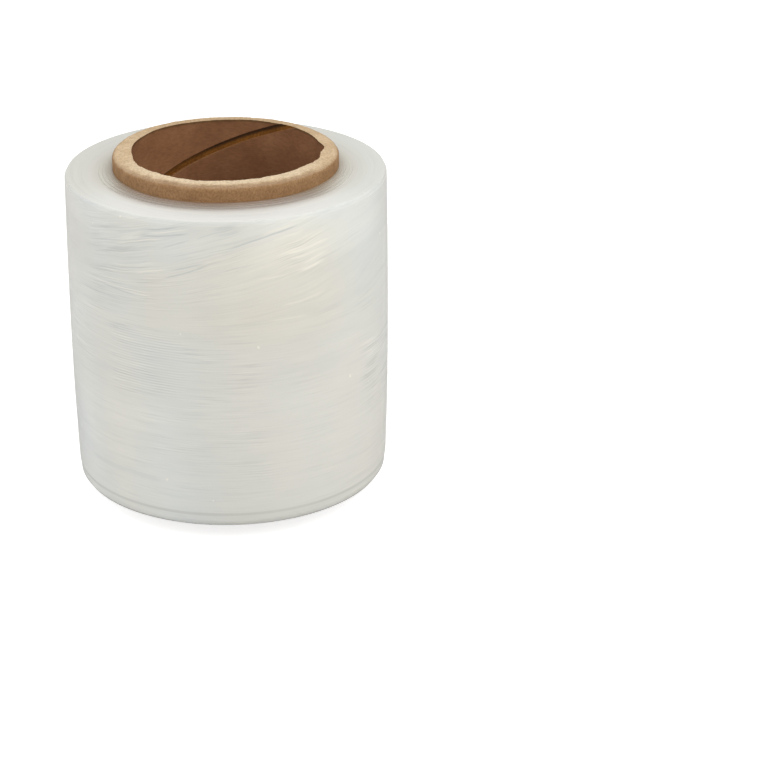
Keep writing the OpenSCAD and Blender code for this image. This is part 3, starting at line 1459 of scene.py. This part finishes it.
@dataclass(frozen=True)
class Panel:
    """A soft-edged patch of the side, in degrees from the photographed side and metres of height.

    Its strength is how strongly the fine streaks show in it, or how much lighter or darker it is.
    """

    direction: float
    half_width: float
    low: float
    high: float
    strength: float

    def cover(self, azimuth: np.ndarray, z: np.ndarray, soft: Span) -> np.ndarray:
        """Work out how far points of the side lie inside the patch.

        Args:
            azimuth: Directions of the points, in radians.
            z: Heights of the points.
            soft: Half the fade at its sides, in degrees, and at its ends, in metres.

        Returns:
            The shares from 0 to 1.
        """
        soft_turn, soft_z = soft
        turn = np.degrees(azimuth - FRONT) - self.direction
        turn = np.abs((turn + 180) % 360 - 180)
        across = smoothstep(self.half_width + soft_turn, self.half_width - soft_turn, turn)
        up = smoothstep(self.low - soft_z, self.low + soft_z, z)
        down = smoothstep(self.high + soft_z, self.high - soft_z, z)
        return across * up * down


@dataclass
class WoundFilm:
    """The wound film: barrel-shaped side with wrinkles, end faces with the edges of the turns.

    The bands hold its wrinkles, the panels its patches of fine streaks, and the zones its soft light and
    shade. The other panels lie round the back, over a turn that starts at a direction, both in degrees.
    Their further pairs are the limits of random draws: a place in each one's share of that turn, half its
    width in degrees, its height and lower end in millimetres, and its strength.
    """

    low: Vector
    high: Vector
    core_r: float
    film_w: float = 127 * MM
    top_fall: float = 0.6 * MM
    bottom_fall: float = 1.2 * MM
    top_edge_r: float = 0.6 * MM
    bottom_edge_r: float = 3.0 * MM
    hem_h: float = 5.9 * MM
    hem_d: float = 0.25 * MM
    creep_h: float = 1.3 * MM
    creep_w: float = 5.4 * MM
    creep_steps: int = 4
    creep_power: float = 1.1
    riser_share: float = 0.17
    ring_count: int = 22
    ring_margin: Span = (0.6 * MM, 0.3 * MM)
    ring_h: float = 0.05 * MM
    ring_waves: Span = (1.5, 1400)
    ring_fade: float = 4 * MM
    side_in: float = 0.15 * MM
    calm_w: Span = (3 * MM, 2 * MM)
    touch: float = 0.01 * MM
    level_normal: float = 0.5
    columns: int = 240
    rows: int = 320
    seed: int = 12
    wrinkle_lean: Span = (-0.03, 0.03)
    wrinkle_widths: float = 3
    # How strongly the wrinkles' crests and flanks are painted lighter and darker.
    crest_painted_light: float = 0.6
    flank_painted_light: float = 0.8
    flow: Flow = Flow()
    bands: tuple[Streaks, ...] = (
        Streaks(110, 84 * MM, 134 * MM, (12, 38), (1.0, 1.6), (0.015, 0.045), 0.12),
        Streaks(200, 52 * MM, 90 * MM, (10, 35), (0.5, 0.8), (0.01, 0.02), 0.06),
        Streaks(200, 13 * MM, 60 * MM, (8, 30), (0.5, 1.0), (0.01, 0.03), 0.10),
        Streaks(60, 15 * MM, 130 * MM, (40, 90), (1.6, 3.5), (0.02, 0.06), 0.08),
    )
    plain_strength: float = 0.16
    panels: tuple[Panel, ...] = (
        Panel(-33, 19, 97 * MM, 131 * MM, 0.5),
        Panel(-2, 11, 102 * MM, 131 * MM, 0.3),
        Panel(30, 9, 108 * MM, 130 * MM, 0.4),
        Panel(-26, 15, 62 * MM, 89 * MM, 1.0),
        Panel(-2, 14, 63 * MM, 86 * MM, 0.42),
        Panel(-52, 10, 66 * MM, 100 * MM, 0.35),
        Panel(-8, 26, 24 * MM, 62 * MM, 0.28),
    )
    panel_soft: Span = (4, 4 * MM)
    other_panels: int = 11
    other_turn: Span = (62, 236)
    other_place: Span = (0.2, 0.8)
    other_low: Span = (20, 105)
    other_half: Span = (9, 20)
    other_tall: Span = (20, 35)
    other_strength: Span = (0.5, 1.0)
    zones: tuple[Panel, ...] = (
        Panel(-72, 18, 5 * MM, 106 * MM, 0.060),
        Panel(-40, 25, 2 * MM, 58 * MM, 0.050),
        Panel(40, 28, 117 * MM, 142 * MM, 0.078),
        Panel(-28, 20, 130 * MM, 142 * MM, 0.024),
        Panel(-58, 16, 124 * MM, 142 * MM, 0.050),
        Panel(-36, 12, 102 * MM, 117 * MM, -0.034),
        Panel(16, 24, 66 * MM, 103 * MM, -0.040),
        Panel(10, 11, 5 * MM, 62 * MM, -0.016),
        Panel(-25, 12, 66 * MM, 86 * MM, -0.018),
    )
    zone_soft: Span = (9, 7 * MM)

    @property
    def film_r(self) -> float:
        """Radius over the film half way up."""
        return self.high.x

    @property
    def top(self) -> float:
        """Height of the film's upper end face, outside the crept turns."""
        return self.low.z + self.film_w

    @property
    def step_w(self) -> float:
        """Radial width of one step of the crept turns."""
        return self.creep_w / self.creep_steps

    def wrinkles(self, azimuth: np.ndarray, z: np.ndarray) -> tuple[np.ndarray, np.ndarray]:
        """Sum the wrinkles at points of the side.

        Args:
            azimuth: Directions of the points, in radians.
            z: Heights of the points.

        Returns:
            How far each point stands out or in, and how much painted light or shade it gets.
        """
        draw = random.Random(self.seed)
        relief = np.zeros_like(z)
        tone = np.zeros_like(z)
        order = np.argsort(z)
        heights = z[order]
        for band in self.bands:
            for _ in range(band.count):
                centre_z = draw.uniform(band.low, band.high)
                centre_a = draw.uniform(-math.pi, math.pi)
                half = draw.uniform(*band.length) * MM / 2
                width = draw.uniform(*band.width) * MM
                height = draw.uniform(*band.height) * MM * draw.choice((-1, 1))
                lean = self.flow.slope(centre_z) + draw.uniform(*self.wrinkle_lean)
                lean *= math.cos(centre_a - FRONT)
                reach = self.wrinkle_widths * width + abs(lean) * half
                first, last = np.searchsorted(heights, (centre_z - reach, centre_z + reach))
                chosen = order[first:last]
                turn = (azimuth[chosen] - centre_a + math.pi) % math.tau - math.pi
                arc = turn * self.film_r
                near = np.abs(arc) < half
                chosen, arc = chosen[near], arc[near]
                across = (z[chosen] - centre_z - lean * arc) / width
                along = np.cos(arc / half * math.pi / 2) ** 2
                fold = along * np.exp(-across * across)
                relief[chosen] += height * fold
                # Painted light on raised crests and painted shade in hollows, with one flank painted lighter
                # and the other darker.
                crest = math.copysign(self.crest_painted_light, height)
                tone[chosen] += band.tone * fold * (crest + across * self.flank_painted_light)
        return relief, tone

    def line_strength(self, azimuth: np.ndarray, z: np.ndarray) -> np.ndarray:
        """Work out how strongly the fine streaks show at points of the side.

        Args:
            azimuth: Directions of the points, in radians.
            z: Heights of the points.

        Returns:
            The strengths from 0 to 1.
        """
        draw = random.Random(self.seed + 1)
        panels = list(self.panels)
        for number in range(self.other_panels):
            low = draw.uniform(*self.other_low) * MM
            start, turn = self.other_turn
            direction = start + turn * (number + draw.uniform(*self.other_place)) / self.other_panels
            half_width = draw.uniform(*self.other_half)
            high = low + draw.uniform(*self.other_tall) * MM
            panels.append(Panel(direction, half_width, low, high, draw.uniform(*self.other_strength)))
        total = np.full_like(z, self.plain_strength)
        for panel in panels:
            share = panel.cover(azimuth, z, self.panel_soft)
            total = np.maximum(total, self.plain_strength + (panel.strength - self.plain_strength) * share)
        return total

    def zone_gain(self, azimuth: np.ndarray, z: np.ndarray) -> np.ndarray:
        """Sum the soft zones of painted light and shade, in which the side is a little lighter or darker."""
        return sum(zone.strength * zone.cover(azimuth, z, self.zone_soft) for zone in self.zones)

    def creep(self, r: np.ndarray) -> np.ndarray:
        """Work out how far the turns at each radius have crept up along the core.

        Args:
            r: Distances from the axis.

        Returns:
            The heights above the end face.
        """
        share = np.clip((r - self.core_r) / self.step_w, 0, self.creep_steps + 2)
        whole = np.floor(share + self.riser_share / 2)
        part = share - whole
        blend = smoothstep(-self.riser_share / 2, self.riser_share / 2, part)
        before = np.clip(1 - (whole - 1) / self.creep_steps, 0, 1) ** self.creep_power
        after = np.clip(1 - whole / self.creep_steps, 0, 1) ** self.creep_power
        return self.creep_h * np.where(whole == 0, 1.0, before + (after - before) * blend)

    def rings(self, lost: float) -> list[float]:
        """List the radii of an end face's rings as they are before the edge is rounded.

        Args:
            lost: How much the radius shrinks at this end.

        Returns:
            The radii from the outside in, close together where a crept turn steps down.
        """
        steps = (0.5, 1 - self.riser_share / 2, 1, 1 + self.riser_share / 2)
        crept = [self.core_r + self.step_w * (i + step) for i in range(self.creep_steps) for step in steps]
        edge = self.film_r - lost
        first = self.core_r + self.creep_w + self.ring_margin[0]
        plain = list(np.linspace(first, edge - self.ring_margin[1], self.ring_count))
        final = sorted([*crept, *plain, self.core_r], reverse=True)
        stretch = (self.film_r - self.core_r) / (edge - self.core_r)
        return [self.core_r + (r - self.core_r) * stretch for r in final]

    def lost(self, side: Side) -> float:
        """Work out how much an end face's radius is smaller than the film's fullest one.

        Args:
            side: The end.

        Returns:
            The difference in metres.
        """
        if side is Side.UPPER:
            return self.top_fall + self.top_edge_r
        return self.bottom_fall + self.bottom_edge_r + self.hem_d

    def shape(self, piece: bpy.types.Object) -> None:
        """Give the plain wall its barrel side, hem, rounded edges, crept turns and wrinkles.

        Args:
            piece: The plain wall.
        """
        x, y, z = points_of(piece).T
        r = np.hypot(x, y)
        azimuth = np.arctan2(y, x)
        on_side = r > self.film_r - self.touch
        above = z - self.low.z
        up = 2 * above / self.film_w - 1
        fall = np.where(up > 0, self.top_fall, self.bottom_fall) * up * up
        top_turn = np.clip(1 - (self.top - z) / self.top_edge_r, 0, 1) * math.pi / 2
        foot_turn = np.clip(1 - above / self.bottom_edge_r, 0, 1) * math.pi / 2
        new_z = np.where(top_turn > 0, self.top - self.top_edge_r * (1 - np.sin(top_turn)), z)
        new_z = np.where(foot_turn > 0, self.low.z + self.bottom_edge_r * (1 - np.sin(foot_turn)), new_z)
        rounds = self.top_edge_r * (1 - np.cos(top_turn)) + self.bottom_edge_r * (1 - np.cos(foot_turn))
        hem = self.hem_d * smoothstep(self.hem_h + self.hem_d, self.hem_h - self.hem_d, new_z - self.low.z)
        relief, tone = self.wrinkles(azimuth, new_z)
        foot_w, top_w = self.calm_w
        calm = smoothstep(self.low.z, self.low.z + foot_w, new_z)
        calm *= smoothstep(self.top, self.top - top_w, new_z)
        side_r = self.film_r - fall - rounds - hem - self.side_in + relief * calm
        new_r = r.copy()
        on_end = np.zeros_like(on_side)
        for side in Side:
            level = self.top if side is Side.UPPER else self.low.z
            at_level = np.abs(z - level) < self.touch
            share = (r - self.core_r) / (self.film_r - self.core_r)
            face_r = self.core_r + share * (self.film_r - self.lost(side) - self.core_r)
            new_r = np.where(at_level & ~on_side, face_r, new_r)
            on_end |= at_level
        new_r = np.where(on_side, side_r, new_r)
        around, across = self.ring_waves
        places = zip(around * np.cos(azimuth), around * np.sin(azimuth), across * new_r)
        ring = np.array([noise.noise(Vector(place)) for place in places])
        ring *= self.ring_h * smoothstep(self.film_r, self.film_r - self.ring_fade, new_r)
        lift = self.creep(new_r) + ring
        new_z = np.where(on_end, new_z + lift, new_z)
        scale = new_r / r
        place_points(piece, np.stack([x * scale, y * scale, new_z], axis=1))
        layers = {
            Layer.PAINTED_LIGHT: np.clip(np.where(on_side, tone * calm, 0), -1, 1),
            Layer.LINES: self.line_strength(azimuth, new_z),
            Layer.ZONES: self.zone_gain(azimuth, new_z),
        }
        for layer, values in layers.items():
            attribute = piece.data.attributes.new(layer.value, "FLOAT", "POINT")
            attribute.data.foreach_set("value", values.astype(np.float32))

    def build(self) -> bpy.types.Object:
        """Model the wound film.

        Returns:
            The finished piece, with a slot for its side and one for its end faces.
        """
        film = wall_ring("wound_film", self.columns, self.film_r, (self.low.z, self.top),
                         {side: self.rings(self.lost(side)) for side in (Side.UPPER, Side.LOWER)})
        upright = self.film_w / 2
        limit = self.film_r - self.touch
        pick(film, "EDGE", lambda a, b: abs(a.z - b.z) > upright and radius(a) > limit)
        bpy.ops.mesh.subdivide(number_cuts=self.rows)
        bpy.ops.object.mode_set(mode="OBJECT")
        self.dress(film)
        self.shape(film)
        finish_mesh(film, 50)
        join_body(film, "film_roll")
        return film

    def dress(self, film: bpy.types.Object) -> None:
        """Give the side and the end faces their film finishes.

        Args:
            film: The plain wall.
        """
        side = FilmSideFinish("film_side", (221, 221, 215), flow=self.flow, hem_z=self.low.z + self.hem_h)
        end = FilmEndFinish("film_end", (218, 218, 214), roughness=0.34, core_r=self.core_r)
        film.data.materials.clear()
        film.data.materials.append(side.build())
        film.data.materials.append(end.build())
        for face in film.data.polygons:
            face.material_index = 1 if abs(face.normal.z) > self.level_normal else 0


@dataclass(frozen=True)
class Softbox:
    """A rectangular lamp that aims at the roll, in degrees, metres and watts."""

    name: str
    direction: float
    elevation: float
    distance: float
    width: float
    height: float
    power: float
    colour: Triple


@dataclass
class Studio:
    """White floor, even light with softboxes, and the camera at the photograph's place."""

    target: Vector
    frame_px: int = 760
    focal_px: float = 2441.7
    sensor: float = 36.0
    camera_place: Triple = (60.6 * MM, -914.3 * MM, 442.6 * MM)
    camera_dip: float = 23.59
    camera_clip: Span = (0.01, 50.0)
    floor_size: float = 12.0
    floor_colour: Linear = (0.62, 0.62, 0.62, 1.0)
    floor_roughness: float = 0.9
    floor_glow: float = 0.76
    world_level: float = 0.4
    mirrored_share: float = 0.3
    boxes: tuple[Softbox, ...] = (
        Softbox("left_box", -72, 32, 1.1, 1.2, 0.9, 5.6, (1.0, 1.0, 1.0)),
        Softbox("middle_box", 10, 42, 1.1, 0.37, 0.9, 1.4, (1.0, 0.99, 0.97)),
        Softbox("right_box", 54, 42, 1.1, 1.1, 0.9, 7.4, (1.0, 0.99, 0.965)),
        Softbox("back_box", 180, 50, 1.2, 1.3, 1.0, 4.0, (1.0, 1.0, 1.0)),
    )

    def build_floor(self) -> None:
        """Lay a floor that the camera sees as white, apart from the roll's shadow."""
        deselect_all()
        bpy.ops.mesh.primitive_plane_add(size=self.floor_size, location=(0, 0, 0))
        floor = bpy.context.object
        floor.name = "studio_floor"
        nodes = Nodes("studio_white")
        nodes.set(Base_Color=self.floor_colour, Roughness=self.floor_roughness, Specular_IOR_Level=0.0)
        path = nodes.add("ShaderNodeLightPath")
        glow = nodes.add("ShaderNodeEmission")
        nodes.link(nodes.times(path.outputs["Is Camera Ray"], self.floor_glow), glow.inputs["Strength"])
        both = nodes.add("ShaderNodeAddShader")
        nodes.link(nodes.shader.outputs[0], both.inputs[0])
        nodes.link(glow.outputs[0], both.inputs[1])
        nodes.link(both.outputs[0], nodes.output.inputs["Surface"])
        floor.data.materials.append(nodes.material)

    def build_world(self) -> None:
        """Light the roll evenly from all round, with a background that is white where it is seen."""
        world = bpy.data.worlds.new("studio_world")
        bpy.context.scene.world = world
        world.use_nodes = True
        nodes = Tree(world.node_tree, "ShaderNodeOutputWorld")
        path = nodes.add("ShaderNodeLightPath").outputs
        mirrored = nodes.times(path["Is Glossy Ray"], self.mirrored_share)
        clear = nodes.math("MAXIMUM", path["Is Camera Ray"], path["Is Transmission Ray"])
        seen = nodes.math("MAXIMUM", clear, mirrored)
        background = nodes.add("ShaderNodeBackground")
        background.inputs["Color"].default_value = (1, 1, 1, 1)
        nodes.link(nodes.spread(seen, (0.0, 1.0), (self.world_level, 1.0)), background.inputs["Strength"])
        nodes.link(background.outputs[0], nodes.output.inputs["Surface"])

    def build_lamp(self, box: Softbox) -> None:
        """Hang one softbox so that it faces the roll.

        Args:
            box: The softbox.
        """
        turn = math.radians(box.direction)
        rise = math.radians(box.elevation)
        away = Vector((math.sin(turn) * math.cos(rise), -math.cos(turn) * math.cos(rise), math.sin(rise)))
        lamp = bpy.data.lights.new(box.name, "AREA")
        lamp.shape = "RECTANGLE"
        lamp.size = box.width
        lamp.size_y = box.height
        lamp.energy = box.power
        lamp.color = box.colour
        holder = bpy.data.objects.new(box.name, lamp)
        bpy.context.scene.collection.objects.link(holder)
        holder.location = self.target + away * box.distance
        holder.rotation_euler = away.to_track_quat("Z", "Y").to_euler()

    def build_camera(self) -> None:
        """Set the camera where the photograph was taken from."""
        data = bpy.data.cameras.new("camera")
        data.sensor_width = self.sensor
        data.lens = self.focal_px / self.frame_px * self.sensor
        data.clip_start, data.clip_end = self.camera_clip
        camera = bpy.data.objects.new("camera", data)
        bpy.context.scene.collection.objects.link(camera)
        camera.location = self.camera_place
        camera.rotation_euler = (math.radians(90 - self.camera_dip), 0, 0)
        bpy.context.scene.camera = camera

    def build(self) -> None:
        """Build the floor, the world, the lamps and the camera."""
        self.build_floor()
        self.build_world()
        for box in self.boxes:
            self.build_lamp(box)
        self.build_camera()
        view = bpy.context.scene.view_settings
        view.view_transform = "Standard"
        LOG.info("studio with %d softboxes", len(self.boxes))


def main() -> None:
    """Build the roll and its studio, and report each piece."""
    logging.basicConfig(level=logging.INFO, format="%(name)s: %(message)s")
    core_low, core_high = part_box("core_tube")
    film_low, film_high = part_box("film_roll")
    PaperCore(core_low, core_high).build()
    WoundFilm(film_low, film_high, core_high.x).build()
    Studio(target=Vector((0, 0, core_high.z / 2))).build()


if __name__ == "__main__":
    main()
